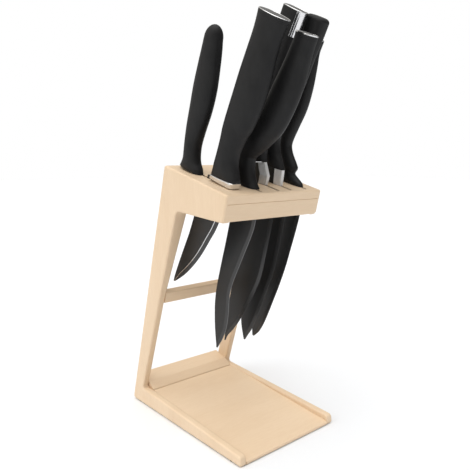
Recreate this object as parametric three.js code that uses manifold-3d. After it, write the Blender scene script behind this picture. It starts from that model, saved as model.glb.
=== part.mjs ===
// Open knife stand with six knives. Millimetres, +Z up, the stand faces -Y.
// The stand is two C-shaped side frames joined by a slotted top, crossbars and a tray.
// Every knife is its own group, placed at its slot and tilted as it leans there.
import * as THREE from 'three';
import { mergeVertices } from 'three/addons/utils/BufferGeometryUtils.js';
import Module from 'manifold-3d';

const wasm = await Module();
wasm.setup();

// Driving dimensions. Side views are drawn as u, the distance from the stand's back, and z, the height.
const GAP = 0.3; // clearance between pieces that touch
const PAD_HEIGHT = 0.8; // how far the rubber pads lift the stand
const HALF_WIDTH = 65; // outer faces of the side frames at the floor
const FRAME_THICKNESS = 8;
const LEAN_IN = 2.5 / 272; // inward shift of a side frame per mm of height
const SLAB_SLOPE = THREE.MathUtils.degToRad(14.38); // fall of the slotted top towards the front
const SLAB_BACK = { u: 71.5, z: 272.1 }; // its upper back edge
const SLAB_LENGTH = 102.65;
const SLAB_THICKNESS = 26.4;
const TOP_PLATE = 9; // thickness of the upper layer
const FASCIA = 4.4; // full-width front of both layers
const SLAB_HALF_WIDTH = 54.2; // between the arms of the side frames
const FASCIA_HALF_WIDTH = 62.3;
const SLOT_WIDTH = 5;
const SLOT_ROUNDING = 1.2; // at the corners of a slot
const STAND_DEPTH = 191.5;
const BLADE = 2; // blade thickness at the spine
const EDGE = 0.4; // blade thickness at the cutting edge
const TANG_TOP = 30; // how far a tang reaches into its handle
const TANG_ROOT = 3; // and down into its blade
const SECTION_POINTS = 20; // points round a handle
const EDGE_BEVEL = 1.2; // on the outer edges of the wooden panels
const CORNER_STEPS = 4; // straight pieces in a rounded corner
const DOWEL_RADIUS = 3;
const DOWEL_LENGTH = 10;
const DOWEL_IN_FRAME = 5;
const DOWEL_PLAY = 0.15;
const DOWEL_CENTRES = [[11, 15], [25, 12], [53, 132], [95, 251], [140, 239.5]]; // u, z
const PAD_RADIUS = 3;
const PAD_THICKNESS = 2.2;
const PADS = [[-1, 14], [1, 14], [-1, 176], [1, 176]]; // side, u

// Each slot's place across the slab and its run down the slab's slope.
const SLOTS = {
  paring: { x: -45.5, from: 5.5, to: 31 },
  utility: { x: -42.5, from: 35.5, to: 86 },
  chef: { x: -17, from: 56.5, to: 98 },
  bread: { x: 6, from: 55.5, to: 98 },
  carving: { x: 23, from: 56.5, to: 98 },
  slicing: { x: 45, from: 58.5, to: 97.5 },
};

const COLOURS = {
  wood: { color: 0xe3c9a6, roughness: 0.55, metalness: 0 },
  grip: { color: 0x1b1b1c, roughness: 0.55, metalness: 0 },
  steel: { color: 0xc4c6c8, roughness: 0.25, metalness: 1 },
  blade: { color: 0x2a2a2b, roughness: 0.4, metalness: 0.3 },
  rubber: { color: 0x3a3a3a, roughness: 0.9, metalness: 0 },
};

const mesh = (name, geometry, look) => {
  const piece = new THREE.Mesh(geometry, new THREE.MeshStandardMaterial(COLOURS[look]));
  piece.name = name;
  return piece;
};

// Solids

function toSolid(geometry) {
  const bare = geometry.clone();
  bare.deleteAttribute('normal');
  bare.deleteAttribute('uv');
  const merged = mergeVertices(bare, 1e-4);
  const vertProperties = new Float32Array(merged.attributes.position.array);
  const triVerts = new Uint32Array(merged.index.array);
  return new wasm.Manifold(new wasm.Mesh({ numProp: 3, vertProperties, triVerts }));
}

function toGeometry(solid) {
  const result = solid.getMesh();
  const geometry = new THREE.BufferGeometry();
  geometry.setAttribute('position', new THREE.BufferAttribute(result.vertProperties, 3));
  geometry.setIndex(new THREE.BufferAttribute(result.triVerts, 1));
  return geometry;
}

function cut(body, tools) {
  const subtract = (solid, tool) => solid.subtract(toSolid(tool));
  return toGeometry(tools.reduce(subtract, toSolid(body)));
}

function join(body, others) {
  const add = (solid, other) => solid.add(toSolid(other));
  return toGeometry(others.reduce(add, toSolid(body)));
}

function box(low, high) {
  const geometry = new THREE.BoxGeometry(high[0] - low[0], high[1] - low[1], high[2] - low[2]);
  return geometry.translate((low[0] + high[0]) / 2, (low[1] + high[1]) / 2, (low[2] + high[2]) / 2);
}

// A closed outline through [x, y, radius] corners, each rounded to its radius.
function roundedShape(corners) {
  const shape = new THREE.Shape();
  corners.forEach(([x, y, radius], i) => {
    const corner = new THREE.Vector2(x, y);
    const before = new THREE.Vector2(...corners.at(i - 1).slice(0, 2));
    const after = new THREE.Vector2(...corners[(i + 1) % corners.length].slice(0, 2));
    const into = before.sub(corner).setLength(radius).add(corner);
    const out = after.sub(corner).setLength(radius).add(corner);
    if (i === 0) shape.moveTo(into.x, into.y);
    else shape.lineTo(into.x, into.y);
    if (radius > 0) shape.quadraticCurveTo(corner.x, corner.y, out.x, out.y);
  });
  shape.closePath();
  return shape;
}

// Extrudes a side outline drawn as (distance to the front, height) from xLow to xHigh.
function sideExtrude(shape, xLow, xHigh, bevel) {
  const depth = xHigh - xLow - 2 * bevel;
  const settings = { depth, curveSegments: CORNER_STEPS, bevelEnabled: bevel > 0 };
  const edge = { bevelSize: bevel, bevelThickness: bevel, bevelOffset: -bevel, bevelSegments: 1 };
  const geometry = new THREE.ExtrudeGeometry(shape, { ...settings, ...edge });
  const turn = new THREE.Matrix4().set(0, 0, -1, 0, -1, 0, 0, 0, 0, 1, 0, 0, 0, 0, 0, 1);
  return geometry.applyMatrix4(turn).translate(xHigh - bevel, 0, 0);
}

// A closed skin over a stack of rings with equal point counts.
function loft(rings) {
  const count = rings[0].length;
  const points = rings.flat();
  const faces = [];
  for (let r = 0; r < rings.length - 1; r += 1) {
    for (let i = 0; i < count; i += 1) {
      const a = r * count + i;
      const b = r * count + ((i + 1) % count);
      faces.push(a, b, b + count, a, b + count, a + count);
    }
  }
  const last = (rings.length - 1) * count;
  for (let i = 1; i < count - 1; i += 1) {
    faces.push(0, i + 1, i);
    faces.push(last, last + i, last + i + 1);
  }
  const geometry = new THREE.BufferGeometry().setFromPoints(points);
  geometry.setIndex(faces);
  return geometry;
}

// Handle section: half-length a to front and back, half-thickness b, tilted forward by tilt.
function section({ up, mid, a, b, power = 2.3, tilt = 0 }) {
  return Array.from({ length: SECTION_POINTS }, (_, i) => {
    const angle = (2 * Math.PI * i) / SECTION_POINTS;
    const across = Math.sign(Math.cos(angle)) * Math.abs(Math.cos(angle)) ** (2 / power);
    const along = Math.sign(Math.sin(angle)) * Math.abs(Math.sin(angle)) ** (2 / power);
    const forward = mid + a * along * Math.cos(tilt);
    return new THREE.Vector3(b * across, -forward, up - a * along * Math.sin(tilt));
  }).reverse();
}

const handle = (stations) => loft(stations.map(section));

// Blade outline rows are [height, spine, edge], with a ground bevel along the edge.
function blade(rows, bevel) {
  const rings = rows.map(([up, spine, edge]) => {
    const ground = Math.max(edge - bevel, (spine + edge) / 2);
    const half = [[spine, BLADE / 2], [ground, BLADE / 2], [edge, EDGE / 2]];
    const right = half.map(([forward, x]) => new THREE.Vector3(x, -forward, up));
    const left = half.map(([forward, x]) => new THREE.Vector3(-x, -forward, up)).reverse();
    return [...right, ...left].reverse();
  });
  return loft(rings.reverse());
}

// Stand

function sideFrameShape() {
  const armEnd = SLAB_LENGTH - FASCIA - GAP;
  const slabPoint = (s, h) => [
    SLAB_BACK.u + s * Math.cos(SLAB_SLOPE) + h * Math.sin(SLAB_SLOPE),
    SLAB_BACK.z - s * Math.sin(SLAB_SLOPE) + h * Math.cos(SLAB_SLOPE),
  ];
  return roundedShape([
    [0.2, PAD_HEIGHT, 5],
    [...slabPoint(0, 0), 3],
    [...slabPoint(armEnd, 0), 0],
    [...slabPoint(armEnd, -SLAB_THICKNESS), 0],
    [91, 226.7, 5],
    [21.8, 19.2, 4],
    [190.6, 10.2, 4],
    [STAND_DEPTH, PAD_HEIGHT, 0],
  ]);
}

// Below the arm the leg grows thicker inwards, from the middle crossbar up.
function legStiffener() {
  const low = 142;
  const high = 219;
  const thinnest = 1.7;
  const growth = 5.7;
  const thick = (z) => thinnest + ((z - low) / (high - low)) * growth;
  const shape = roundedShape([[39.5, low, 0], [61.5, low, 0], [87.2, high, 0], [60, high, 0]]);
  const geometry = sideExtrude(shape, 0, 1, 0);
  const position = geometry.attributes.position;
  for (let i = 0; i < position.count; i += 1) {
    const depth = position.getX(i) * (thick(position.getZ(i)) + 1) - 1;
    position.setX(i, -HALF_WIDTH + FRAME_THICKNESS + depth);
  }
  return geometry;
}

function sideFrame(side) {
  const panel = sideExtrude(sideFrameShape(), -HALF_WIDTH, -HALF_WIDTH + FRAME_THICKNESS, EDGE_BEVEL);
  const left = join(panel, [legStiffener()]);
  const leaning = new THREE.Matrix4().set(1, 0, LEAN_IN, 0, 0, 1, 0, 0, 0, 0, 1, 0, 0, 0, 0, 1);
  left.applyMatrix4(leaning);
  const geometry = side < 0 ? left : mirrored(left);
  const pockets = PADS.filter(([padSide]) => padSide === side).map((place) => rubberPad(place, GAP));
  return cut(geometry, [...dowelBores(), ...pockets]);
}

function mirrored(geometry) {
  const copy = geometry.clone().scale(-1, 1, 1);
  const faces = copy.index.array;
  for (let i = 0; i < faces.length; i += 3) [faces[i], faces[i + 1]] = [faces[i + 1], faces[i]];
  return copy;
}

// Wooden dowels run along X through the joint between a side frame and what it carries.
function dowel(x, y, z, radius, length) {
  const geometry = new THREE.CylinderGeometry(radius, radius, length, 12);
  return geometry.rotateZ(Math.PI / 2).translate(x, y, z);
}

function dowelPlaces(side) {
  return DOWEL_CENTRES.map(([u, z]) => {
    const inner = HALF_WIDTH - FRAME_THICKNESS - LEAN_IN * z;
    return { x: side * (inner + DOWEL_IN_FRAME - DOWEL_LENGTH / 2), y: -u, z };
  });
}

const dowelBores = () => [-1, 1].flatMap((side) => dowelPlaces(side)
  .map(({ x, y, z }) => dowel(x, y, z, DOWEL_RADIUS + DOWEL_PLAY, DOWEL_LENGTH + 2 * GAP)));

function dowelSet(side, name) {
  return dowelPlaces(side).map(({ x, y, z }, i) => {
    const pin = dowel(x, y, z, DOWEL_RADIUS, DOWEL_LENGTH);
    return mesh(`${name}_${i + 1}`, pin, 'wood');
  });
}

function rearCrossbar() {
  const half = HALF_WIDTH - FRAME_THICKNESS - GAP - LEAN_IN * 28;
  const shape = roundedShape([[1.6, 2, 1], [2.6, 30, 2], [22.1, 24.9, 2], [32.4, 18.8, 1], [32.4, 2, 1]]);
  return cut(sideExtrude(shape, -half, half, 0), dowelBores());
}

function middleCrossbar() {
  const half = HALF_WIDTH - FRAME_THICKNESS - GAP - LEAN_IN * 141;
  const shape = roundedShape([
    [45, 128, 1.5], [47, 135.2, 1.5], [53, 139, 1.5], [61.5, 136.6, 1.5], [58, 124.6, 1.5],
  ]);
  return cut(sideExtrude(shape, -half, half, 0), dowelBores());
}

function tray() {
  const half = HALF_WIDTH - FRAME_THICKNESS - GAP - LEAN_IN * 18;
  const shape = roundedShape([
    [32.8, 17.9, 0.6],
    [186.5, 4.9, 2],
    [191.2, 3.4, 0.8],
    [191.2, 1, 0.5],
    [178, 1, 2],
    [32.8, 13.4, 0.6],
  ]);
  return sideExtrude(shape, -half, half, 0);
}

// Pads are half sunk in the side frames; room makes the pocket that holds one.
function rubberPad([side, u], room) {
  const radius = PAD_RADIUS + room;
  const height = PAD_THICKNESS + room;
  const geometry = new THREE.CylinderGeometry(radius, radius - 0.3, height, 16);
  return geometry.rotateX(Math.PI / 2).translate(side * (HALF_WIDTH - FRAME_THICKNESS / 2), -u, height / 2);
}

// Slotted top, drawn in its own frame: x across, -y towards the front, z out of the upper face.

function slabLayer(top, bottom, lowerRadius) {
  const back = box([-SLAB_HALF_WIDTH, -(SLAB_LENGTH - FASCIA / 2), bottom], [SLAB_HALF_WIDTH, -GAP, top]);
  const face = roundedShape([
    [-FASCIA_HALF_WIDTH, top, 0],
    [-FASCIA_HALF_WIDTH, bottom, lowerRadius],
    [FASCIA_HALF_WIDTH, bottom, lowerRadius],
    [FASCIA_HALF_WIDTH, top, 0],
  ]);
  const settings = { depth: FASCIA - 2 * EDGE_BEVEL, curveSegments: CORNER_STEPS, bevelSegments: 1 };
  const edge = { bevelSize: EDGE_BEVEL, bevelThickness: EDGE_BEVEL, bevelOffset: -EDGE_BEVEL };
  const fascia = new THREE.ExtrudeGeometry(face, { ...settings, ...edge });
  fascia.translate(0, 0, EDGE_BEVEL).rotateX(Math.PI / 2).translate(0, -(SLAB_LENGTH - FASCIA), 0);
  return join(back, [fascia]);
}

function slotCutters(top, bottom) {
  return Object.values(SLOTS).map(({ x, from, to }) => {
    const half = SLOT_WIDTH / 2;
    const outline = roundedShape([
      [x - half, -to, SLOT_ROUNDING],
      [x + half, -to, SLOT_ROUNDING],
      [x + half, -from, SLOT_ROUNDING],
      [x - half, -from, SLOT_ROUNDING],
    ]);
    const depth = top - bottom + 2;
    const settings = { depth, curveSegments: CORNER_STEPS, bevelEnabled: false };
    const geometry = new THREE.ExtrudeGeometry(outline, settings);
    return geometry.translate(0, 0, bottom - 1);
  });
}

// The dowels run level, so their bores are brought into the slab's frame.
function slabBores(slab) {
  slab.updateMatrixWorld();
  const intoSlab = slab.matrixWorld.clone().invert();
  return dowelBores().map((bore) => bore.applyMatrix4(intoSlab));
}

function slottedTop() {
  const slab = new THREE.Group();
  slab.position.set(0, -SLAB_BACK.u, SLAB_BACK.z);
  slab.rotation.x = SLAB_SLOPE;
  const upper = cut(slabLayer(0, -TOP_PLATE, 0), slotCutters(0, -TOP_PLATE));
  const underside = -TOP_PLATE - GAP;
  const lower = slabLayer(underside, -SLAB_THICKNESS, 6);
  const tools = [...slotCutters(underside, -SLAB_THICKNESS), ...slabBores(slab)];
  slab.add(mesh('slotted_top_plate', upper, 'wood'));
  slab.add(mesh('slotted_lower_block', cut(lower, tools), 'wood'));
  return slab;
}

// Knives. Heights are along the handle from the slab, forward distances from the knife's own axis.

// The tang is a bar on top of the blade; its pocket is a little larger all round.
const tang = ([back, front], top, room) => box(
  [-BLADE / 2 - room, -front - room, -TANG_ROOT - room],
  [BLADE / 2 + room, -back + room, top + room],
);

function knifeGroup({ slot, axis, lean, lift }) {
  const group = new THREE.Group();
  group.position.set(SLOTS[slot].x, -axis, lift);
  group.rotation.x = THREE.MathUtils.degToRad(lean);
  return group;
}

function addBlade(group, name, rows, bevel, tangSpan) {
  group.add(mesh(name, join(blade(rows, bevel), [tang(tangSpan, TANG_TOP, 0)]), 'blade'));
}

// A piece that the tang runs through.
function addSleeve(group, name, stations, tangSpan, look) {
  group.add(mesh(name, cut(handle(stations), [tang(tangSpan, TANG_TOP, GAP)]), look));
}

const addGrip = (...sleeve) => addSleeve(...sleeve, 'grip');
const addBolster = (...sleeve) => addSleeve(...sleeve, 'steel');

function paringKnife() {
  const group = knifeGroup({ slot: 'paring', axis: 19.4, lean: 5.1, lift: 2 });
  const span = [-6, 4];
  addBlade(group, 'paring_blade', [
    [-0.5, -9.5, 9],
    [-40, -9.5, 9],
    [-65, -9.2, 7],
    [-82, -8.6, 2.5],
    [-92, -7.8, -2.5],
    [-97, -6.6, -5.6],
  ], 4, span);
  addGrip(group, 'paring_handle', [
    { up: 0.2, mid: 4.4, a: 16.8, b: 7.6 },
    { up: 4, mid: 4, a: 14.4, b: 8 },
    { up: 9, mid: 2.2, a: 10.8, b: 8 },
    { up: 15, mid: 0.6, a: 9.1, b: 8.2 },
    { up: 25, mid: -0.8, a: 8.8, b: 8.5 },
    { up: 40, mid: -0.7, a: 11.1, b: 8.5 },
    { up: 60, mid: 0.7, a: 13.6, b: 8.6 },
    { up: 80, mid: 0.9, a: 14.4, b: 8.7 },
    { up: 100, mid: 0.4, a: 12.6, b: 8.6 },
    { up: 115, mid: -0.2, a: 10.6, b: 8.4 },
    { up: 124, mid: -1, a: 9.5, b: 7.9 },
    { up: 131, mid: -1.2, a: 7.2, b: 6 },
    { up: 135, mid: -1.3, a: 4, b: 3.4 },
    { up: 136.4, mid: -1.4, a: 1.8, b: 1.5 },
  ], span);
  return group;
}

function utilityKnife() {
  const group = knifeGroup({ slot: 'utility', axis: 69, lean: 11.5, lift: 1.4 });
  const span = [-8, 6];
  addBlade(group, 'utility_blade', [
    [-2.4, -21, 14],
    [-35, -24, 13],
    [-47, -23.8, 11.5],
    [-60, -23.6, 8.2],
    [-73, -23.8, 5],
    [-86, -24.8, 1],
    [-104, -26, -6.5],
    [-118, -26.8, -14],
    [-128, -27, -20.8],
    [-133.5, -26.6, -25],
  ], 5.6, span);
  addBolster(group, 'utility_bolster', [
    { up: 0.9, mid: 3.4, a: 17, b: 7, power: 6, tilt: -0.14 },
    { up: 5.5, mid: 3.2, a: 17.2, b: 7.3, power: 6, tilt: -0.2 },
  ], span);
  addGrip(group, 'utility_handle', [
    { up: 5.8, mid: 3.2, a: 17.2, b: 7.4, power: 3.5, tilt: -0.2 },
    { up: 10.5, mid: 2.2, a: 16.6, b: 8.2, power: 2.8, tilt: -0.12 },
    { up: 16, mid: 0, a: 15, b: 8.7, power: 2.4, tilt: -0.06 },
    { up: 21, mid: -1.4, a: 13.4, b: 9 },
    { up: 27, mid: -2.6, a: 12, b: 9.2 },
    { up: 33, mid: -3, a: 11.6, b: 9.4 },
    { up: 41, mid: -3, a: 12.5, b: 9.5 },
    { up: 49, mid: -2.6, a: 14.2, b: 9.6 },
    { up: 61, mid: -0.8, a: 16.7, b: 9.6 },
    { up: 82, mid: 0.9, a: 18.2, b: 9.6 },
    { up: 101, mid: 1, a: 18, b: 9.5 },
    { up: 120, mid: 0.4, a: 16.3, b: 9.3 },
    { up: 134, mid: 0.3, a: 15.4, b: 9.1 },
    { up: 142.5, mid: 0.6, a: 15.8, b: 9.1 },
    { up: 150.5, mid: 0.9, a: 16.9, b: 9.2, tilt: 0.05 },
  ], span);
  group.add(mesh('utility_end_cap', handle([
    { up: 150.8, mid: 0.9, a: 16.9, b: 9.2, tilt: 0.05 },
    { up: 153, mid: 1.1, a: 17.4, b: 9.3, tilt: 0.05 },
    { up: 154, mid: 1.1, a: 16.6, b: 8.6, tilt: 0.05 },
  ]), 'grip'));
  return group;
}

function chefKnife() {
  const group = knifeGroup({ slot: 'chef', axis: 70, lean: 0, lift: 0 });
  const span = [-7.5, 1];
  addBlade(group, 'chef_blade', [
    [-0.5, -8, 27],
    [-34, -8, 27],
    [-47, -8.4, 24.9],
    [-66, -9.2, 20],
    [-84, -10.2, 15.5],
    [-100, -11, 11.5],
    [-114, -11.4, 9.8],
    [-126, -11, 11],
    [-138, -9.4, 13],
    [-155, -5.2, 13.4],
    [-168, -1, 10.6],
    [-176, 2.2, 7.6],
    [-181.5, 4, 5.4],
  ], 4, span);
  addGrip(group, 'chef_handle', [
    { up: 0.3, mid: 2.4, a: 19, b: 8, power: 2.8 },
    { up: 4, mid: 0.6, a: 18.4, b: 7.8 },
    { up: 9, mid: -2.2, a: 17.4, b: 7.8 },
    { up: 16, mid: -4.8, a: 16.6, b: 8 },
    { up: 22, mid: -6, a: 16.4, b: 8.2 },
    { up: 29, mid: -6.2, a: 16.8, b: 8.5, tilt: 0.1 },
    { up: 35, mid: -2.2, a: 17.4, b: 8.8, tilt: 0.2 },
    { up: 41, mid: 3.2, a: 17.6, b: 9, tilt: 0.28 },
    { up: 50, mid: 11.4, a: 17.4, b: 9.4, tilt: 0.3 },
    { up: 62, mid: 22, a: 16.8, b: 9.5, tilt: 0.3 },
    { up: 80, mid: 30.6, a: 16, b: 9.5, tilt: 0.26 },
    { up: 100, mid: 37.2, a: 14.8, b: 9.3, tilt: 0.22 },
    { up: 115, mid: 40.8, a: 12.4, b: 9, tilt: 0.2 },
    { up: 130, mid: 44, a: 10.6, b: 8.4, tilt: 0.17 },
    { up: 138.5, mid: 45.9, a: 10.2, b: 8.2, tilt: 0.15 },
  ], span);
  group.add(mesh('chef_end_cap', handle([
    { up: 138.8, mid: 46, a: 10.2, b: 8.2, tilt: 0.15 },
    { up: 141.4, mid: 46.5, a: 10.6, b: 8.4, tilt: 0.15 },
    { up: 142.2, mid: 46.7, a: 9.9, b: 7.7, tilt: 0.15 },
  ]), 'steel'));
  return group;
}

function breadKnife() {
  const group = knifeGroup({ slot: 'bread', axis: 65, lean: 0, lift: 0 });
  const span = [-7.5, 1];
  addBlade(group, 'bread_blade', [
    [-0.5, -8, 32],
    [-75, -8, 32],
    [-95, -8, 30.8],
    [-116, -8, 25.3],
    [-136, -8, 18.5],
    [-154, -7.6, 12],
    [-168, -6.8, 5],
    [-178, -5.6, -1],
    [-186, -4.4, -3.6],
  ], 4, span);
  addBolster(group, 'bread_bolster', [
    { up: 0.3, mid: -0.8, a: 15.4, b: 4, power: 5 },
    { up: 9.5, mid: -0.6, a: 15.8, b: 4.6, power: 5 },
    { up: 18, mid: -5, a: 13, b: 4.2, power: 5, tilt: -0.25 },
  ], span);
  addGrip(group, 'bread_handle', [
    { up: 18.8, mid: -5, a: 13.4, b: 5.2, power: 3, tilt: -0.25 },
    { up: 24, mid: -6, a: 13, b: 6.6, tilt: -0.15 },
    { up: 32, mid: -7, a: 12.4, b: 7.2 },
    { up: 48, mid: -7, a: 12.8, b: 7.6 },
    { up: 80, mid: -4.6, a: 13.8, b: 7.7 },
    { up: 105, mid: -2, a: 13.6, b: 7.7, tilt: 0.1 },
    { up: 125, mid: 1, a: 12.8, b: 7.7, tilt: 0.2 },
    { up: 141, mid: 4.5, a: 12.8, b: 7.7, tilt: 0.26 },
  ], span);
  group.add(mesh('bread_end_cap', handle([
    { up: 141.3, mid: 4.6, a: 12.9, b: 7.8, power: 3, tilt: 0.26 },
    { up: 154, mid: 8.2, a: 13.6, b: 7.8, power: 3, tilt: 0.26 },
    { up: 163, mid: 9.8, a: 14, b: 7.4, power: 2.6, tilt: 0.26 },
    { up: 164, mid: 9.8, a: 13.2, b: 6.8, power: 2.4, tilt: 0.26 },
  ]), 'steel'));
  return group;
}

function carvingKnife() {
  const group = knifeGroup({ slot: 'carving', axis: 67, lean: 0, lift: 0 });
  const span = [-8, 0];
  addBlade(group, 'carving_blade', [
    [-0.5, -8.5, 30],
    [-84, -8.5, 30],
    [-96, -8.5, 28.6],
    [-110, -8.5, 26],
    [-132, -8.2, 22],
    [-152, -5.8, 18],
    [-165, -2.4, 14.8],
    [-174, 1.8, 11],
    [-182, 6.4, 7.8],
  ], 4, span);
  addBolster(group, 'carving_bolster', [
    { up: 0.3, mid: 0.6, a: 16.2, b: 4, power: 5 },
    { up: 15.6, mid: -0.4, a: 15.6, b: 4.6, power: 5 },
  ], span);
  addGrip(group, 'carving_handle', [
    { up: 15.9, mid: 0.4, a: 15, b: 5.4, power: 3.4 },
    { up: 20, mid: -1.2, a: 14.4, b: 6.2 },
    { up: 25, mid: -3.4, a: 12.9, b: 6.6 },
    { up: 31, mid: -7, a: 12, b: 6.8 },
    { up: 43, mid: -10.6, a: 12, b: 7 },
    { up: 55, mid: -8.6, a: 12.8, b: 7.3 },
    { up: 75, mid: -1.6, a: 13.4, b: 7.6, tilt: 0.2 },
    { up: 100, mid: 6.4, a: 13.2, b: 7.7, tilt: 0.26 },
    { up: 125, mid: 13, a: 12.2, b: 7.7, tilt: 0.22 },
    { up: 143, mid: 18, a: 11.2, b: 7.7, power: 3, tilt: 0.2 },
    { up: 156, mid: 20.8, a: 11.4, b: 7.6, power: 3.2, tilt: 0.2 },
    { up: 158.6, mid: 21.3, a: 10.4, b: 6.8, power: 3, tilt: 0.2 },
    { up: 159.6, mid: 21.5, a: 8.4, b: 5, power: 2.8, tilt: 0.2 },
  ], span);
  return group;
}

function slicingKnife() {
  const group = knifeGroup({ slot: 'slicing', axis: 72, lean: 0, lift: 0 });
  const span = [-11.5, -3.5];
  addBlade(group, 'slicing_blade', [
    [-0.5, -12, 24.4],
    [-32, -12, 24.4],
    [-50, -12, 23.2],
    [-67, -12, 21],
    [-87, -12, 18],
    [-112, -12, 12],
    [-134, -12, 7.2],
    [-161, -11.6, 2],
    [-177, -10.4, -1.6],
    [-187, -7.2, -5],
  ], 4, span);
  addGrip(group, 'slicing_handle', [
    { up: 0.3, mid: 1.6, a: 18.2, b: 5.4, power: 2.6 },
    { up: 3.4, mid: -0.2, a: 17.8, b: 6, power: 2.6 },
    { up: 7, mid: -3.8, a: 14.6, b: 6.2 },
    { up: 10, mid: -6.6, a: 12.2, b: 6.4 },
    { up: 16, mid: -5.4, a: 13, b: 6.6 },
    { up: 20, mid: -7.4, a: 12.4, b: 6.6 },
    { up: 30, mid: -15, a: 11.2, b: 6.6 },
    { up: 38, mid: -18, a: 11, b: 6.8 },
    { up: 54, mid: -14.8, a: 12, b: 7 },
    { up: 75, mid: -8.8, a: 12.4, b: 7.4 },
    { up: 96, mid: -6.4, a: 12.2, b: 7.5 },
    { up: 118, mid: -5.8, a: 11.1, b: 7.5, tilt: 0.08 },
    { up: 130, mid: -5.8, a: 10.4, b: 7.5, tilt: 0.1 },
    { up: 138.5, mid: -4.6, a: 10.8, b: 7.7, tilt: 0.1 },
  ], span);
  group.add(mesh('slicing_end_cap', handle([
    { up: 138.8, mid: -4.6, a: 10.8, b: 7.7, tilt: 0.1 },
    { up: 141.6, mid: -4.2, a: 11.2, b: 7.9, tilt: 0.1 },
    { up: 142.4, mid: -4.1, a: 10.6, b: 7.2, tilt: 0.1 },
  ]), 'steel'));
  return group;
}

// Assembly

const stand = new THREE.Group();
stand.add(mesh('side_frame_left', sideFrame(-1), 'wood'));
stand.add(mesh('side_frame_right', sideFrame(1), 'wood'));
stand.add(...dowelSet(-1, 'dowel_left'), ...dowelSet(1, 'dowel_right'));
stand.add(mesh('rear_crossbar', rearCrossbar(), 'wood'));
stand.add(mesh('middle_crossbar', middleCrossbar(), 'wood'));
stand.add(mesh('tray', tray(), 'wood'));
PADS.forEach((place, i) => stand.add(mesh(`rubber_pad_${i + 1}`, rubberPad(place, 0), 'rubber')));

const top = slottedTop();
const knives = [paringKnife, utilityKnife, chefKnife, breadKnife, carvingKnife, slicingKnife];
knives.forEach((make) => top.add(make()));
stand.add(top);

// The origin is the middle of the underside of the whole object.
stand.updateMatrixWorld(true);
const bounds = new THREE.Box3().setFromObject(stand);
const middle = bounds.getCenter(new THREE.Vector3());
stand.position.set(-middle.x, -middle.y, -bounds.min.z);

const group = new THREE.Group();
group.add(stand);

export default group;
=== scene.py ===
"""An open wooden knife stand with six knives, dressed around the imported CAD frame. Metres, +Z up."""
import math

import bmesh
import bpy
from mathutils import Matrix, Vector


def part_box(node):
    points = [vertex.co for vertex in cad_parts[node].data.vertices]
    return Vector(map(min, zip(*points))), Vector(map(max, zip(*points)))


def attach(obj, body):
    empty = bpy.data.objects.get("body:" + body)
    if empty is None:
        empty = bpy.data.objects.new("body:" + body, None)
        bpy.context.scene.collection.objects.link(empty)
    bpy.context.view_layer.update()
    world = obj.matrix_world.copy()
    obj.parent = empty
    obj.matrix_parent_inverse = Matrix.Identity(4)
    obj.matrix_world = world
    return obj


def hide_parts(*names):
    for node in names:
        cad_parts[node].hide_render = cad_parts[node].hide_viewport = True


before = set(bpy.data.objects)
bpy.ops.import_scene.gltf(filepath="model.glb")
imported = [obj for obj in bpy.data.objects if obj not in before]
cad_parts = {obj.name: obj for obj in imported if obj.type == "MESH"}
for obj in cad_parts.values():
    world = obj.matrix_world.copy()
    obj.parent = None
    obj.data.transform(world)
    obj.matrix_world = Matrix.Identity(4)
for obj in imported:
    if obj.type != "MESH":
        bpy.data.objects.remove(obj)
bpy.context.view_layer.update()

MM = 0.001
TRAY_FRONT = 191.2  # distance of the tray's front edge from the stand's back, mm
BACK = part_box("tray")[0].y / MM + TRAY_FRONT  # where the stand's back lies along Y, mm

# The stand, in millimetres. Side views are (u, z): distance from the back, and height.
HALF_WIDTH = 65
FRAME_THICKNESS = 8
LEAN_IN = 2.5 / 272  # inward shift of a side frame per mm of height
SLAB_SLOPE = math.radians(14.38)
SLAB_BACK = (71.5, 272.1)
SLAB_LENGTH = 102.65
SLAB_THICKNESS = 26.4
TOP_PLATE = 9
FASCIA = 4.4  # depth of the slab's front that runs the full width
SHELL_ROUNDING = 2
CORNER_ROUNDING = 6.5  # of the lower right corner of the slab's front
BEVEL_STEPS = 4

# The side frames' outline in the side view. Its other corners are the slab's own.
HEEL = (0.2, 0.8)
INSTEP = (21.8, 19.2)
ARMPIT = (91, 226.7)
RAIL_END = (190.6, 10.2)
TOE = (191.5, 0.8)
UNDERSIDE_HEIGHT = 246.4  # where the slab's underside meets the leg's back
SWELL_FROM = 132  # the leg grows thicker inwards from here
SWELL_TO = 227
SWELL = 7.2

# Where the slab is sawn from the side frames, measured from the middle.
BOARD_REACH = 54.2
FASCIA_REACH = 60.4
MARGIN = 3  # how far a cutting tool reaches past what it cuts
HAIR = 0.02  # keeps two faces out of one plane

# Slots: place across the slab and run down its slope.
SLOTS = {
    "paring": (-45.5, 5.5, 31),
    "utility": (-42.5, 35.5, 86),
    "chef": (-17, 56.5, 98),
    "bread": (6, 55.5, 98),
    "carving": (23, 56.5, 98),
    "slicing": (45, 58.5, 97.5),
}
SLOT_HALF = 1.6
SLOT_ROUNDING = 1.2

# Knives
TANG_SHOWN = 9
BLADE_HALF = 1.0
TANG_HALF = 0.9
EDGE_HALF = 0.12
BEVEL = 4
LINE = 0.35
RING_POINTS = 48
RINGS_PER_STATION = 5
DOME_STEPS = 7
CAP_LIP_START = 0.35
CAP_SINK = 0.25
CAP_CROWN = [(0.25, 1.5), (0.5, 3.0), (0.65, 4.5)]  # rise and inset of the rings of a cap's top
# The bolster's faces past these are painted shade: the dark blade coating put on steel.
BRIGHT_FACETS = 4  # of a bolster's eight faces, counted from the right cheek

# Surfaces
NOISE_LOW, NOISE_HIGH = 0.3, 0.7
SHARP_ANGLE = 35


# Materials

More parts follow.
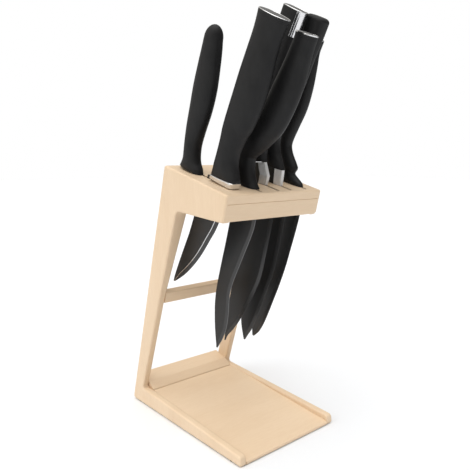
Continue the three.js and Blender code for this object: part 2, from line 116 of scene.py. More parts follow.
def material(name, colour, roughness, metallic=0.0):
    """A node material with its shader, ready for detail to be linked in."""
    made = bpy.data.materials.new(name)
    made.use_nodes = True
    shader = made.node_tree.nodes["Principled BSDF"]
    shader.inputs["Base Color"].default_value = (*colour, 1)
    shader.inputs["Roughness"].default_value = roughness
    shader.inputs["Metallic"].default_value = metallic
    return made, shader


def node(tree, kind, **values):
    """A node with its sockets or properties set."""
    made = tree.nodes.new(kind)
    for key, value in values.items():
        if key in made.inputs:
            made.inputs[key].default_value = value
        else:
            setattr(made, key, value)
    return made


def noise(tree, stretch, scale, detail=4.0, roughness=0.55):
    """Noise in the object's own coordinates, stretched along the axes."""
    place = node(tree, "ShaderNodeTexCoord")
    mapping = node(tree, "ShaderNodeMapping", Scale=stretch)
    made = node(tree, "ShaderNodeTexNoise", Scale=scale, Detail=detail, Roughness=roughness)
    tree.links.new(place.outputs["Object"], mapping.inputs["Vector"])
    tree.links.new(mapping.outputs["Vector"], made.inputs["Vector"])
    return made.outputs["Fac"]


def ramp(tree, source, low, high, dark, light):
    """A colour ramp between two colours over a stretch of the source."""
    made = node(tree, "ShaderNodeValToRGB")
    ends = made.color_ramp.elements
    ends[0].position, ends[1].position = low, high
    ends[0].color, ends[1].color = (*dark, 1), (*light, 1)
    tree.links.new(source, made.inputs["Fac"])
    return made.outputs["Color"]


def spread(tree, source, low, high):
    """Maps noise to a range of values."""
    made = node(tree, "ShaderNodeMapRange")
    made.inputs["From Min"].default_value = NOISE_LOW
    made.inputs["From Max"].default_value = NOISE_HIGH
    made.inputs["To Min"].default_value = low
    made.inputs["To Max"].default_value = high
    tree.links.new(source, made.inputs["Value"])
    return made.outputs["Result"]


def bump(tree, source, shader, strength, distance):
    """Raises the surface by the source."""
    made = node(tree, "ShaderNodeBump", Strength=strength, Distance=distance)
    tree.links.new(source, made.inputs["Height"])
    tree.links.new(made.outputs["Normal"], shader.inputs["Normal"])


def wood(name, stretch, dark, light):
    """Pale lacquered wood: broad soft figure, fine pores and a faint sheen."""
    made, shader = material(name, light, 0.5)
    tree = made.node_tree
    figure = noise(tree, stretch, scale=38.0, detail=3.0)
    pores = noise(tree, tuple(4 * value for value in stretch), scale=160.0, detail=5.0, roughness=0.65)
    share_of_pores = 0.45
    mix = node(tree, "ShaderNodeMix", data_type="FLOAT")
    mix.inputs[0].default_value = share_of_pores
    tree.links.new(figure, mix.inputs[2])
    tree.links.new(pores, mix.inputs[3])
    tree.links.new(ramp(tree, mix.outputs[0], 0.36, 0.62, dark, light), shader.inputs["Base Color"])
    tree.links.new(spread(tree, pores, 0.56, 0.44), shader.inputs["Roughness"])
    bump(tree, pores, shader, 0.12, 0.0002)
    return made


def grip_material():
    """Black soft-touch plastic with a fine moulded texture."""
    made, shader = material("black_grip", (0.012, 0.012, 0.0125), 0.5)
    shader.inputs["Specular IOR Level"].default_value = 0.2
    tree = made.node_tree
    mottle = noise(tree, (1, 1, 0.6), scale=90.0)
    grain = noise(tree, (1, 1, 1), scale=1800.0, detail=2.0)
    dark, light = (0.009, 0.009, 0.0095), (0.016, 0.016, 0.0165)
    tree.links.new(ramp(tree, mottle, NOISE_LOW, NOISE_HIGH, dark, light), shader.inputs["Base Color"])
    tree.links.new(spread(tree, mottle, 0.46, 0.56), shader.inputs["Roughness"])
    bump(tree, grain, shader, 0.25, 0.0001)
    return made


def metal(name, colour, low, high, stretch, metallic=1.0, strength=0.05):
    """Metal with fine drawn lines along one way."""
    made, shader = material(name, colour, low, metallic)
    tree = made.node_tree
    lines = noise(tree, stretch, scale=220.0, detail=3.0)
    darker = tuple(0.88 * value for value in colour)
    tree.links.new(ramp(tree, lines, NOISE_LOW, NOISE_HIGH, darker, colour), shader.inputs["Base Color"])
    tree.links.new(spread(tree, lines, low, high), shader.inputs["Roughness"])
    bump(tree, lines, shader, strength, 0.0001)
    return made


def rubber_material():
    """Dull dark rubber."""
    made, shader = material("pad_rubber", (0.04, 0.04, 0.04), 0.9)
    tree = made.node_tree
    grain = noise(tree, (1, 1, 1), scale=700.0)
    dark, light = (0.03, 0.03, 0.03), (0.05, 0.05, 0.05)
    tree.links.new(ramp(tree, grain, NOISE_LOW, NOISE_HIGH, dark, light), shader.inputs["Base Color"])
    bump(tree, grain, shader, 0.4, 0.0002)
    return made


WOOD_DARK = (0.76, 0.575, 0.39)
WOOD_LIGHT = (0.805, 0.625, 0.44)
upright_wood = wood("upright_wood", (1, 0.9, 0.12), WOOD_DARK, WOOD_LIGHT)
level_wood = wood("level_wood", (0.12, 1, 1), WOOD_DARK, WOOD_LIGHT)
dowel_wood = wood("dowel_wood", (0.2, 1, 1), (0.5, 0.33, 0.17), (0.62, 0.43, 0.25))
grip = grip_material()
steel = metal("polished_steel", (0.78, 0.78, 0.79), 0.12, 0.22, (1, 1, 8))
# The blades' black coating; on the bolsters' left and back faces it is painted shade on steel.
coating_and_painted_shade = metal("blade_coating_and_painted_shade", (0.014, 0.014, 0.0145), 0.38, 0.46, (1, 1, 5), 0.2)
ground = metal("ground_bevel", (0.06, 0.06, 0.061), 0.34, 0.44, (1, 5, 1), 0.6)
# A dark satin metal top for the caps; on the utility's plastic cap its lighter tone is painted light from
# above.
cap_top = metal("cap_top", (0.1, 0.1, 0.102), 0.36, 0.46, (1, 8, 1), 0.6)
# Bare steel at the sharpened edge, made lighter than the bevel as a painted highlight along it.
sharpened_steel_and_highlight = metal("sharpened_steel_and_highlight", (0.16, 0.16, 0.163), 0.25, 0.35, (1, 1, 6))
brushed = metal("brushed_steel", (0.74, 0.74, 0.745), 0.4, 0.5, (6, 1, 1), 0.35, 0.12)
# A pale polished strip along the grind line, a painted highlight.
painted_grind_highlight = metal("grind_highlight_strip", (0.72, 0.72, 0.73), 0.2, 0.3, (1, 1, 6))
rubber = rubber_material()


# Mesh helpers

def as_object(name, points, faces, looks, face_looks=None):
    """A mesh object from points in millimetres in the part's frame."""
    mesh = bpy.data.meshes.new(name)
    mesh.from_pydata([Vector(p) * MM for p in points], [], faces)
    for look in looks:
        mesh.materials.append(look)
    if face_looks:
        mesh.polygons.foreach_set("material_index", face_looks)
    mesh.update()
    made = bpy.data.objects.new(name, mesh)
    bpy.context.scene.collection.objects.link(made)
    return made


def apply_modifiers(made):
    """Replaces the object's mesh by what its modifiers make."""
    graph = bpy.context.evaluated_depsgraph_get()
    mesh = bpy.data.meshes.new_from_object(made.evaluated_get(graph))
    made.modifiers.clear()
    made.data = mesh
    return made


def smooth(made, angle=SHARP_ANGLE):
    """Smooth shading with sharp edges past an angle, and flat faces kept flat."""
    made.data.shade_smooth()
    made.data.set_sharp_from_angle(angle=math.radians(angle))
    weighted = made.modifiers.new("weighted", "WEIGHTED_NORMAL")
    weighted.keep_sharp = True
    return apply_modifiers(made)


def boolean(made, tool, operation):
    """Cuts, joins or keeps what the object shares with a tool."""
    cutter = made.modifiers.new("cut", "BOOLEAN")
    cutter.operation = operation
    cutter.solver = "EXACT"
    cutter.object = tool
    apply_modifiers(made)


def discard(made):
    bpy.data.objects.remove(made)


def curve_corner(before, corner, after, radius, steps=6):
    """Points round a corner, from radius before it to radius after it."""
    corner = Vector(corner)
    start = corner + (Vector(before) - corner).normalized() * radius
    end = corner + (Vector(after) - corner).normalized() * radius
    ts = [i / steps for i in range(steps + 1)]
    return [(1 - t) ** 2 * start + 2 * t * (1 - t) * corner + t ** 2 * end for t in ts]


def rounded(corners):
    """An outline through (x, y, radius) corners."""
    points = []
    for i, (x, y, radius) in enumerate(corners):
        before = corners[i - 1][:2]
        after = corners[(i + 1) % len(corners)][:2]
        points += curve_corner(before, (x, y), after, radius) if radius else [Vector((x, y))]
    return points


def slab_point(s, h):
    """(u, z) of a point s down the slab's slope and h out of its upper face."""
    u = SLAB_BACK[0] + s * math.cos(SLAB_SLOPE) + h * math.sin(SLAB_SLOPE)
    z = SLAB_BACK[1] - s * math.sin(SLAB_SLOPE) + h * math.cos(SLAB_SLOPE)
    return Vector((u, z))


def prism(name, outline, reach, looks=()):
    """An outline of (u, z) points run across the stand to plus and minus reach(z)."""
    count = len(outline)
    left = [(-reach(z), BACK - u, z) for u, z in outline]
    right = [(reach(z), BACK - u, z) for u, z in outline]
    sides = [(i, (i + 1) % count, count + (i + 1) % count, count + i) for i in range(count)]
    faces = [*sides, tuple(range(count))[::-1], tuple(range(count, 2 * count))]
    return facing_out(as_object(name, left + right, faces, looks))


def facing_out(made):
    """Turns every face outwards."""
    work = bmesh.new()
    work.from_mesh(made.data)
    bmesh.ops.recalc_face_normals(work, faces=work.faces)
    work.to_mesh(made.data)
    work.free()
    return made


def bevel_edges(made, width, chosen):
    """Rounds the chosen edges."""
    work = bmesh.new()
    work.from_mesh(made.data)
    work.normal_update()
    edges = [edge for edge in work.edges if chosen(edge)]
    bmesh.ops.bevel(work, geom=edges, offset=width * MM, segments=BEVEL_STEPS, profile=0.5,
                    affect="EDGES", clamp_overlap=False)
    work.to_mesh(made.data)
    work.free()
    return made


def is_outer_corner(edge):
    """A convex edge that turns by more than the sharp angle."""
    return edge.is_manifold and edge.is_convex and edge.calc_face_angle() > math.radians(SHARP_ANGLE)


def finish_piece(made, body, slot, *nodes):
    """Seats a piece on its body, in the place of its CAD nodes."""
    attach(made, body)
    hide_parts(*nodes)


# Stand

def outer(z):
    """How far a side frame's outer face lies from the middle at height z."""
    return HALF_WIDTH - LEAN_IN * z


def inner(z):
    """How far a side frame's inner face lies from the middle at height z."""
    return outer(z) - FRAME_THICKNESS


def along(start, end, z):
    """The point of the line from start to end at height z."""
    t = (z - start[1]) / (end[1] - start[1])
    return Vector(start).lerp(Vector(end), t)


def stand_shell():
    """Both side frames and the slab between them as one rounded form, before it is sawn into its pieces."""
    heel, instep, armpit, rail, toe = (Vector(corner) for corner in (HEEL, INSTEP, ARMPIT, RAIL_END, TOE))
    crown, nose = slab_point(0, 0), slab_point(SLAB_LENGTH, 0)
    chin = slab_point(SLAB_LENGTH, -SLAB_THICKNESS)
    back_low = along(heel, crown, SWELL_FROM)
    back_high = along(heel, crown, SWELL_TO)
    under = along(heel, crown, UNDERSIDE_HEIGHT)
    front_low = along(instep, armpit, SWELL_FROM)
    parts = {
        "heel": curve_corner(toe, heel, crown, 5),
        "back_low": [back_low],
        "back_high": [back_high],
        "under": [under],
        "crown": curve_corner(heel, crown, nose, 3),
        "nose": [nose],
        "chin": [chin],
        "armpit": curve_corner(chin, armpit, instep, 5),
        "front_low": [front_low],
        "instep": curve_corner(armpit, instep, rail, 4),
        "rail": curve_corner(instep, rail, toe, 4),
        "toe": [toe],
    }
    where, outline = {}, []
    for name, points in parts.items():
        where[name] = list(range(len(outline), len(outline) + len(points)))
        outline += points
    count = len(outline)
    swollen = {*where["back_high"], *where["under"], *where["armpit"]}

    def swell(i):
        height = min(outline[i].y, SWELL_TO)
        return SWELL * (height - SWELL_FROM) / (SWELL_TO - SWELL_FROM) if i in swollen else 0

    inside = [inner(p.y) - swell(i) for i, p in enumerate(outline)]
    rows = [
        [(-outer(p.y), BACK - p.x, p.y) for p in outline],
        [(-inside[i], BACK - p.x, p.y) for i, p in enumerate(outline)],
        [(inside[i], BACK - p.x, p.y) for i, p in enumerate(outline)],
        [(outer(p.y), BACK - p.x, p.y) for p in outline],
    ]

    def pick(*names):
        return [i for name in names for i in where[name]]

    first_armpit = where["armpit"][0]
    foot = pick("heel", "back_low", "front_low", "instep", "rail", "toe")
    leg = pick("back_low", "back_high", "armpit", "front_low")
    cheek = [where["back_high"][0], where["under"][0], first_armpit]
    jaw = [where["under"][0], where["chin"][0], first_armpit]
    slab_loop = pick("under", "crown", "nose", "chin")
    faces = []
    for row in (0, 2):
        for i in range(count):
            j = (i + 1) % count
            faces.append([row * count + i, row * count + j, (row + 1) * count + j, (row + 1) * count + i])
    for i, j in zip(slab_loop, slab_loop[1:] + slab_loop[:1]):
        faces.append([count + i, count + j, 2 * count + j, 2 * count + i])
    faces.append(list(range(count)))
    faces.append([3 * count + i for i in range(count)])
    for loop in (foot, leg, cheek, jaw):
        faces.append([count + i for i in loop])
        faces.append([2 * count + i for i in loop])
    shell = facing_out(as_object("stand_shell", sum(rows, []), faces, [upright_wood]))
    return bevel_edges(shell, SHELL_ROUNDING, is_outer_corner)


def slab_box(name, x_low, x_high, s_low, s_high, h_low, h_high):
    """A box in the slab's own directions: across it, down its slope and out of its face."""
    corners = ((s_low, h_low), (s_high, h_low), (s_high, h_high), (s_low, h_high))
    outline = [slab_point(s, h) for s, h in corners]
    made = prism(name, outline, lambda z: (x_high - x_low) / 2)
    made.data.transform(Matrix.Translation(((x_high + x_low) / 2 * MM, 0, 0)))
    return made


def slot_tool(name, x, s_low, s_high):
    """A blade's slot, with rounded corners."""
    sides = (x - SLOT_HALF, x + SLOT_HALF)
    tool = slab_box(name, *sides, s_low, s_high, -SLAB_THICKNESS - MARGIN, MARGIN)
    outwards = slab_point(0, 1) - slab_point(0, 0)
    up = Vector((0, -outwards.x, outwards.y))

    def runs_through(edge):
        way = (edge.verts[1].co - edge.verts[0].co).normalized()
        return abs(way.dot(up)) > 0.99

    return bevel_edges(tool, SLOT_ROUNDING, runs_through)


def groove_tool():
    """A thin bar, turned on its edge, along the joint of the two layers."""
    half_length, depth, out = 60.2, 0.55, 0.12
    height = depth * 0.7
    middle = slab_point(SLAB_LENGTH + out, -TOP_PLATE)
    turns = [Vector((depth, 0)), Vector((0, height)), Vector((-depth, 0)), Vector((0, -height))]
    slope = Matrix.Rotation(-SLAB_SLOPE, 2)
    outline = [middle + slope @ turn for turn in turns]
    return prism("groove_tool", outline, lambda z: half_length)


def corner_tool():
    """What rounding the lower right corner of the slab's front takes away."""
    radius, bottom, steps = CORNER_ROUNDING, -SLAB_THICKNESS, 8
    reach = outer(slab_point(SLAB_LENGTH, bottom).y)
    turns = [math.radians(90 * step / steps) for step in range(steps + 1)]
    arc = [(reach - radius + radius * math.sin(t), bottom + radius - radius * math.cos(t)) for t in turns]
    far, low = reach + MARGIN, bottom - MARGIN
    outline = [*arc, (far, bottom + radius), (far, low), (reach - radius, low)]
    count = len(outline)
    points = []
    for s in (SLAB_LENGTH - FASCIA - HAIR, SLAB_LENGTH + MARGIN):
        for x, h in outline:
            u, z = slab_point(s, h)
            points.append((x, BACK - u, z))
    faces = [(i, (i + 1) % count, count + (i + 1) % count, count + i) for i in range(count)]
    faces += [tuple(range(count)), tuple(range(count, 2 * count))]
    return facing_out(as_object("corner_tool", points, faces, []))


def plank(name, low, high):
    """The part of the slab between the side frames, and the full width of its front, from low to high."""
    front, overlap = SLAB_LENGTH - FASCIA, 0.5
    narrow = slab_box(name, -BOARD_REACH, BOARD_REACH, -MARGIN, front, low, high)
    across = (-FASCIA_REACH, FASCIA_REACH)
    wide = slab_box(name + "_front", *across, front - overlap, SLAB_LENGTH + MARGIN, low, high)
    boolean(narrow, wide, "UNION")
    discard(wide)
    return narrow


def half_of(shell, side, name):
    """The left or right side frame, where the shell has come apart into two."""
    half = shell.copy()
    half.data = shell.data.copy()
    half.name = name
    bpy.context.scene.collection.objects.link(half)
    work = bmesh.new()
    work.from_mesh(half.data)
    gone = [v for v in work.verts if v.co.x * side < 0]
    bmesh.ops.delete(work, geom=gone, context="VERTS")
    work.to_mesh(half.data)
    work.free()
    return half


def build_stand():
    """Cuts the groove, the rounded corner and the slots, then saws the shell into its pieces."""
    shell = stand_shell()
    slots = [slot_tool(f"{name}_slot", *slot) for name, slot in SLOTS.items()]
    for tool in (groove_tool(), corner_tool(), *slots):
        boolean(shell, tool, "DIFFERENCE")
        discard(tool)
    below, above = -SLAB_THICKNESS - 0.6, 4
    whole = plank("whole", below, above)
    upper = plank("slotted_top_board", -TOP_PLATE, above)
    lower = plank("slotted_lower_board", below, -TOP_PLATE)
    for piece, node_name in ((upper, "slotted_top_plate"), (lower, "slotted_lower_block")):
        boolean(piece, shell, "INTERSECT")
        piece.data.materials.clear()
        piece.data.materials.append(level_wood)
        finish_piece(smooth(piece), "stand", "pale_wood", node_name)
    boolean(shell, whole, "DIFFERENCE")
    discard(whole)
    for side, name in ((-1, "left"), (1, "right")):
        half = half_of(shell, side, f"{name}_frame")
        finish_piece(smooth(half), "stand", "pale_wood", f"side_frame_{name}")
    discard(shell)


def build_bars():
    """The crossbars and the tray, run up to the side frames."""
    rear = rounded([(1.6, 2, 1), (2.6, 30, 2), (22.8, 25, 0.8), (32.2, 18.4, 1), (32.4, 2, 1)])
    middle = rounded([(45, 128, 1.5), (47, 135.2, 1.5), (53, 139, 1.5), (61.5, 136.6, 1.5),
                      (58, 124.6, 1.5)])
    tray = rounded([(32.8, 17.9, 0.3), (186.5, 4.9, 2), (191.2, 3.4, 0.8), (191.2, 1, 0.6), (178, 1, 2),
                    (32.8, 13.4, 0.3)])
    outlines = {"rear_crossbar": rear, "middle_crossbar": middle, "tray": tray}
    for name, outline in outlines.items():
        made = prism(name + "_board", outline, inner, [level_wood])
        finish_piece(smooth(made, 30), "stand", "pale_wood", name)


# Knives. Sections are stations up the handle: height, middle, half-length, half-thickness.

def hermite(rows, steps):
    """Rows interpolated smoothly over their first value."""
    xs = [row[0] for row in rows]
    last = len(rows) - 1

    def slope(i, k):
        low, high = max(i - 1, 0), min(i + 1, last)
        return (rows[high][k] - rows[low][k]) / (xs[high] - xs[low])

    made = [rows[0]]
    for i in range(last):
        width = xs[i + 1] - xs[i]
        for step in range(1, steps + 1):
            t = step / steps
            near, far = 2 * t ** 3 - 3 * t ** 2 + 1, 3 * t ** 2 - 2 * t ** 3
            leave, arrive = (t ** 3 - 2 * t ** 2 + t) * width, (t ** 3 - t ** 2) * width
            row = [xs[i] + t * width]
            for k in range(1, len(rows[0])):
                value = near * rows[i][k] + far * rows[i + 1][k]
                value += leave * slope(i, k)
                value += arrive * slope(i + 1, k)
                row.append(value)
            made.append(row)
    return made


def station(up, mid, a, b, power=2.3, tilt=0.0):
    """One level of a handle, with the usual roundness unless it is given."""
    return (up, mid, a, b, power, tilt)


def section(up, mid, a, b, power, tilt):
    """A superellipse ring, tilted down towards the front."""
    ring = []
    for i in range(RING_POINTS):
        angle = 2 * math.pi * i / RING_POINTS
        across = math.copysign(abs(math.cos(angle)) ** (2 / power), math.cos(angle))
        front = math.copysign(abs(math.sin(angle)) ** (2 / power), math.sin(angle))
        ring.append((b * across, -(mid + a * front * math.cos(tilt)), up - a * front * math.sin(tilt)))
    return ring


def dome(last, height, flat):
    """Stations that close a handle's end with a rounded cap. flat is the share that stays flat on top."""
    up, mid, a, b, power, tilt = last
    made = []
    for step in range(1, DOME_STEPS + 1):
        angle = math.pi / 2 * step / DOME_STEPS
        out = height * math.sin(angle)
        share = flat + (1 - flat) * max(math.cos(angle), 0.02)
        centre = (up + out * math.cos(tilt), mid + out * math.sin(tilt))
        made.append((*centre, a * share, b * share, power, tilt))
    return made


def knife_place(slot, axis, lean=0.0, lift=0.0):
    """The knife's own frame, standing on the slab's face, in millimetres."""
    slab = Matrix.Translation((0, BACK - SLAB_BACK[0], SLAB_BACK[1])) @ Matrix.Rotation(SLAB_SLOPE, 4, "X")
    own = Matrix.Translation((SLOTS[slot][0], -axis, lift)) @ Matrix.Rotation(math.radians(lean), 4, "X")
    return slab @ own


def loft(name, place, rings, looks, ring_look=None, top_look=0):
    """A closed skin over rings of equal point counts. ring_look gives the look of the faces above a ring."""
    count = len(rings[0])
    points = [place @ Vector(p) for ring in rings for p in ring]
    faces, face_looks = [], []
    for r in range(len(rings) - 1):
        for i in range(count):
            j = (i + 1) % count
            faces.append((r * count + i, r * count + j, (r + 1) * count + j, (r + 1) * count + i))
            face_looks.append(ring_look(r, i) if ring_look else 0)
    last = (len(rings) - 1) * count
    faces.append(tuple(range(count)))
    faces.append(tuple(range(last, last + count)))
    face_looks += [0, top_look]
    return facing_out(as_object(name, points, faces, looks, face_looks))


def add_grip(knife, place, stations, end_height=0.0, end_flat=0.0):
    """A moulded handle through its stations, closed by a dome where it has one."""
    rows = hermite(stations, RINGS_PER_STATION)
    if end_height:
        rows += dome(stations[-1], end_height, end_flat)
    made = smooth(loft(f"{knife}_grip", place, [section(*row) for row in rows], [grip]), 50)
    finish_piece(made, f"{knife}_knife", "black_grip", f"{knife}_handle")


def add_cap(knife, place, base, height, slot, rim=1.0, lip=0.7, front=range(0)):
    """An end cap: a black band, a bright rim and a slightly crowned satin top.

    front holds the points of each ring between which the band is steel too; where it is given, the black grip
    left on the flanks is painted shade on a steel cap.
    """
    up, mid, a, b, power, tilt = base

    def level(out, inset):
        return section(up + out * math.cos(tilt), mid + out * math.sin(tilt), a - inset, b - inset,
                       power, tilt)

    inside = CAP_LIP_START + lip
    rings = [level(0, 0), level(height - rim, -0.15), level(height - 0.15, 0.05)]
    rings += [level(height, CAP_LIP_START), level(height, CAP_LIP_START + lip * 0.6)]
    rings.append(level(height - CAP_SINK, inside))
    first_top = len(rings) - 1
    rings += [level(height - CAP_SINK + out, inside + inset) for out, inset in CAP_CROWN]
    band, bright, top = range(3)

    def look(r, i):
        if r == 0:
            return bright if i in front else band
        return bright if r < first_top else top

    made = smooth(loft(f"{knife}_cap", place, rings, [grip, steel, cap_top], look, top), 40)
    finish_piece(made, f"{knife}_knife", slot, f"{knife}_end_cap")


def blade_ring(up, spine, edge, bevel, line, half=BLADE_HALF, edge_half=EDGE_HALF):
    """One level of a blade, from the spine along a cheek, the bevel and the edge, and back.

    Where the blade is narrow, the bevel, its line and the edge keep to a share of its width.
    """
    width = edge - spine
    start = edge - min(bevel, 0.45 * width)
    end = start + min(line, 0.1 * width)
    keen = edge - min(0.5, 0.08 * width)
    side = [(spine + min(0.25, 0.1 * width), half), (start, half * 0.94), (end, half * 0.9),
            (keen, edge_half * 1.6), (edge, edge_half * 0.5)]
    ring = [(-x, -forward, up) for forward, x in side]
    ring += [(x, -forward, up) for forward, x in reversed(side)]
    return ring + [(half * 0.75, -spine, up), (-half * 0.75, -spine, up)]


def add_blade(knife, place, rows, tang, bevel=BEVEL, line=LINE, line_look=ground, edge_look=ground):
    """A blade with flat cheeks, a ground bevel and a line between them, on a tang that enters the handle.

    rows run down the blade: height, spine, edge. tang is where its back and front lie.
    """
    rings = [blade_ring(*row, bevel, line) for row in hermite(rows[::-1], RINGS_PER_STATION)]
    root = rows[0][0]
    for up in (root + HAIR, root + TANG_SHOWN):
        rings.append(blade_ring(up, *tang, 1, 0.1, TANG_HALF, TANG_HALF))
    cheek, grind, strip, keen = range(4)
    round_ring = [cheek, strip, grind, keen, keen, keen, grind, strip, cheek, cheek, cheek, cheek]
    looks = [coating_and_painted_shade, ground, line_look, edge_look]
    made = smooth(loft(f"{knife}_steel", place, rings[::-1], looks, lambda r, i: round_ring[i]), 12)
    finish_piece(made, f"{knife}_knife", "coated_blade", f"{knife}_blade")


def facet_ring(up, mid, a, b, tilt=0.0):
    """An eight-sided ring with narrow slanted faces at the front."""
    nose, tail = b * 0.42, b * 0.5
    back, front = -0.72, 0.5
    corners = [(b, back), (b, front), (nose, 1), (-nose, 1), (-b, front), (-b, back), (-tail, -1), (tail, -1)]
    return [(x, -(mid + a * f * math.cos(tilt)), up - a * f * math.sin(tilt)) for x, f in corners]


def add_bolster(knife, place, rows):
    """A steel bolster, brushed on the right cheek and the front, with its left and back faces given the dark
    coating as painted shade.
    """
    rings = [facet_ring(*row) for row in rows]
    made = loft(f"{knife}_collar", place, rings, [coating_and_painted_shade, brushed], lambda r, i: int(i < BRIGHT_FACETS))
    finish_piece(smooth(made, 10), f"{knife}_knife", "polished_steel", f"{knife}_bolster")


def paring_knife():
    place = knife_place("paring", 19.4, 5.1, 2)
    blade = [(-0.5, -9.5, 9), (-40, -9.5, 9), (-65, -9.2, 7), (-82, -8.6, 2.5), (-92, -7.8, -2.5),
             (-97, -6.6, -5.6)]
    handle = [
        station(0.2, 4.4, 16.8, 7.6), station(4, 4, 14.4, 8), station(9, 2.2, 10.8, 8),
        station(15, 0.6, 9.1, 8.2), station(25, -0.8, 8.8, 8.5), station(40, -0.7, 11.1, 8.5),
        station(60, 0.7, 13.6, 8.6), station(80, 0.9, 14.4, 8.7), station(100, 0.4, 12.6, 8.6),
        station(115, -0.2, 10.6, 8.4), station(124, -1, 9.5, 7.9),
    ]
    add_blade("paring", place, blade, (-6, 4))
    add_grip("paring", place, handle, 12.6)


def utility_knife():
    place = knife_place("utility", 69, 11.5, 1.4)
    blade = [(-2.4, -21, 14), (-35, -24, 13), (-47, -23.8, 11.5), (-60, -23.6, 8.2), (-73, -23.8, 5),
             (-86, -24.8, 1), (-104, -26, -6.5), (-118, -26.8, -14), (-128, -27, -20.8), (-133.5, -26.6, -25)]
    handle = [
        station(5.8, 3.2, 17.2, 7.4, 3.5, -0.2), station(10.5, 2.2, 16.6, 8.2, 2.8, -0.12),
        station(16, 0, 15, 8.7, 2.4, -0.06), station(21, -1.4, 13.4, 9), station(27, -2.6, 12, 9.2),
        station(33, -3, 11.6, 9.4), station(41, -3, 12.5, 9.5), station(49, -2.6, 14.2, 9.6),
        station(61, -0.8, 16.7, 9.6), station(82, 0.9, 18.2, 9.6), station(101, 1, 18, 9.5),
        station(120, 0.4, 16.3, 9.3), station(134, 0.3, 15.4, 9.1), station(142.5, 0.6, 15.8, 9.1),
        station(150.5, 0.9, 16.9, 9.2, tilt=0.05),
    ]
    ring = [station(0.9, 3.4, 16.6, 6.7, 6, -0.14), station(1.3, 3.4, 17, 7.1, 6, -0.15),
            station(5.1, 3.2, 17.2, 7.3, 6, -0.2), station(5.5, 3.2, 16.9, 7, 6, -0.2)]
    # The utility blade's grind line is a pale strip: a painted highlight.
    add_blade("utility", place, blade, (-8, 6), bevel=5.6, line=0.8, line_look=painted_grind_highlight)
    collar = smooth(loft("utility_collar", place, [section(*row) for row in ring], [steel]), 30)
    finish_piece(collar, "utility_knife", "polished_steel", "utility_bolster")
    add_grip("utility", place, handle)
    # This cap is black plastic: its thin steel rim is a painted highlight along its edge, and its satin top
    # is painted light from above.
    add_cap("utility", place, station(150.6, 0.9, 17, 9.3, tilt=0.05), 3.3, "black_grip", rim=0.5, lip=0.35)


def chef_knife():
    place = knife_place("chef", 70)
    blade = [(-0.5, -8, 27), (-34, -8, 27), (-47, -8.4, 24.9), (-66, -9.2, 20), (-84, -10.2, 15.5),
             (-100, -11, 11.5), (-114, -11.4, 9.8), (-126, -11, 11), (-138, -9.4, 13), (-155, -5.2, 13.4),
             (-168, -1, 10.6), (-176, 2.2, 7.6), (-181.5, 4, 5.4)]
    handle = [
        station(0.3, 2.4, 19, 8, 2.8), station(4, 0.6, 18.4, 7.8), station(9, -2.2, 17.4, 7.8),
        station(16, -4.8, 16.6, 8), station(22, -6, 16.4, 8.2), station(29, -6.2, 16.8, 8.5, tilt=0.1),
        station(35, -2.2, 17.4, 8.8, tilt=0.2), station(41, 3.2, 17.6, 9, tilt=0.28),
        station(50, 11.4, 17.4, 9.4, tilt=0.3), station(62, 22, 16.8, 9.5, tilt=0.3),
        station(80, 30.6, 16, 9.5, tilt=0.26), station(100, 37.2, 14.8, 9.3, tilt=0.22),
        station(115, 40.8, 12.4, 9, tilt=0.2), station(130, 44, 10.6, 8.4, tilt=0.17),
        station(138.5, 45.9, 10.2, 8.2, tilt=0.15),
    ]
    # The keen edge is bare steel with a painted highlight.
    add_blade("chef", place, blade, (-7.5, 1), edge_look=sharpened_steel_and_highlight)
    add_grip("chef", place, handle)
    add_cap("chef", place, station(138.6, 45.9, 10.3, 8.3, tilt=0.15), 3.4, "polished_steel", rim=1.1)


def bread_knife():
    place = knife_place("bread", 65)
    blade = [(-0.5, -8, 32), (-75, -8, 32), (-95, -8, 30.8), (-116, -8, 25.3), (-136, -8, 18.5),
             (-154, -7.6, 12), (-168, -6.8, 5), (-178, -5.6, -1), (-186, -4.4, -3.6)]
    handle = [
        station(18.8, -5, 13.4, 5.2, 3, -0.25), station(24, -6, 13, 6.6, tilt=-0.15),
        station(32, -7, 12.4, 7.2), station(48, -7, 12.8, 7.6), station(80, -4.6, 13.8, 7.7),
        station(105, -2, 13.6, 7.7, tilt=0.1), station(125, 1, 12.8, 7.7, tilt=0.2),
        station(141, 4.5, 12.8, 7.7, tilt=0.26),
    ]
    add_blade("bread", place, blade, (-7.5, 1))
    add_bolster("bread", place, [(0.3, -0.8, 15.4, 4), (9.5, -0.6, 15.8, 4.6), (18.3, -5, 13, 4.2, -0.25)])
    add_grip("bread", place, handle)
    base = station(141.1, 4.6, 12.9, 7.8, 3, 0.26)
    # This cap is steel: its front is drawn steel, and its flanks are black as painted shade.
    add_cap("bread", place, base, 22.5, "polished_steel", rim=0.6, lip=0.5, front=range(6, 19))


def carving_knife():
    place = knife_place("carving", 67)
    blade = [(-0.5, -8.5, 30), (-84, -8.5, 30), (-96, -8.5, 28.6), (-110, -8.5, 26), (-132, -8.2, 22),
             (-152, -5.8, 18), (-165, -2.4, 14.8), (-174, 1.8, 11), (-182, 6.4, 7.8)]
    handle = [
        station(15.9, 0.4, 15, 5.4, 3.4), station(20, -1.2, 14.4, 6.2), station(25, -3.4, 12.9, 6.6),
        station(31, -7, 12, 6.8), station(43, -10.6, 12, 7), station(55, -8.6, 12.8, 7.3),
        station(75, -1.6, 13.4, 7.6, tilt=0.2), station(100, 6.4, 13.2, 7.7, tilt=0.26),
        station(125, 13, 12.2, 7.7, tilt=0.22), station(143, 18, 11.2, 7.7, 3, 0.2),
        station(156, 20.8, 11.4, 7.6, 3.2, 0.2),
    ]
    add_blade("carving", place, blade, (-8, 0))
    add_bolster("carving", place, [(0.3, 0.6, 16.2, 4), (15.6, -0.4, 15.6, 4.6)])
    add_grip("carving", place, handle, 3.6, 0.62)


